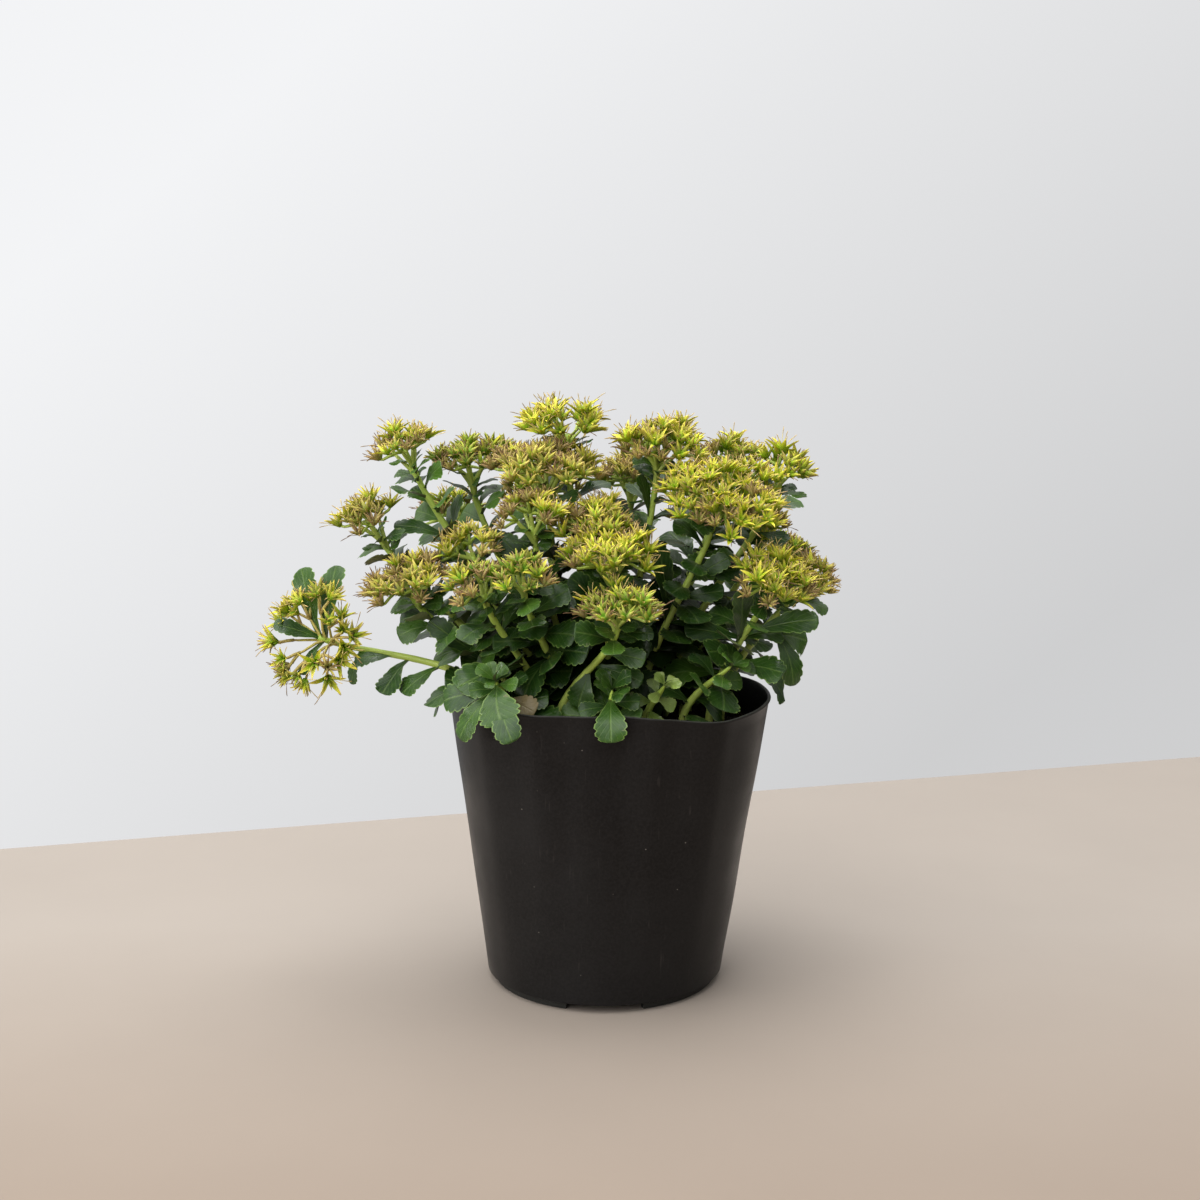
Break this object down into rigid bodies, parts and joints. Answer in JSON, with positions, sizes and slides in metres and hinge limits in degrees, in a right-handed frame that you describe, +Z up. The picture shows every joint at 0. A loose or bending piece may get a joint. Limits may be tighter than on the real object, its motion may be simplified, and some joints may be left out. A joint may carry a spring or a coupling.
{
  "type": "potted plant",
  "caption": "Potted sedum with leafy stems and flat-domed heads of star flowers, growing in soil in a thin plastic nursery pot.",
  "frame": {"origin": "middle of the whole plant's bounding box, on the ground plane under the pot's foot ring", "axes": "+Z up; the picture was taken from -Y, so -Y is the front and +X is the picture's right. The pot's own axis stands 22.8 mm to +X and 5.7 mm to -Y of the origin, because the plant leans to -X past its pot"},
  "size_m": [0.2434, 0.1432, 0.251],
  "materials": {
    "pot": "satin black-brown, moulded",
    "soil": "crumbly and dark",
    "leaf": "fleshy, with a soft shine",
    "young_leaf": "fleshy, with a soft shine",
    "seed_star": "matt",
    "faded_star": "dry and matt",
    "open_star": "matt, thin petals"
  },
  "bodies": {
    "root": {"pot": "pot", "soil": "soil", "stem_01": "leaf", "stem_02": "leaf", "stem_03": "leaf", "stem_04": "leaf", "stem_05": "leaf", "stem_06": "leaf", "stem_07": "leaf", "stem_08": "leaf", "stem_09": "leaf", "stem_10": "leaf", "stem_11": "leaf", "stem_12": "leaf", "stem_13": "leaf", "stem_14": "leaf", "stem_15": "leaf", "stem_16": "leaf", "stem_17": "leaf", "stem_18": "leaf", "stem_19": "leaf", "stem_20": "leaf", "stem_21": "leaf", "stem_22": "leaf", "stem_23": "leaf", "stem_24": "leaf", "stem_25": "leaf", "stem_26": "leaf", "head_01": "seed_star", "head_02": "faded_star", "head_03": "seed_star", "head_04": "faded_star", "head_05": "open_star", "head_06": "seed_star", "head_07": "faded_star", "head_08": "faded_star", "head_09": "seed_star", "head_10": "seed_star", "head_11": "seed_star", "head_12": "open_star", "head_13": "seed_star", "head_14": "open_star", "head_15": "seed_star", "head_16": "open_star", "head_17": "open_star", "head_18": "faded_star", "head_19": "open_star", "head_20": "faded_star", "head_21": "seed_star", "head_22": "seed_star", "head_23": "seed_star", "head_24": "faded_star", "head_25": "open_star", "head_26": "seed_star", "shoot_01": "young_leaf", "shoot_02": "young_leaf", "shoot_03": "young_leaf", "shoot_04": "young_leaf", "shoot_05": "young_leaf", "shoot_06": "young_leaf"}
  },
  "joints": []
}
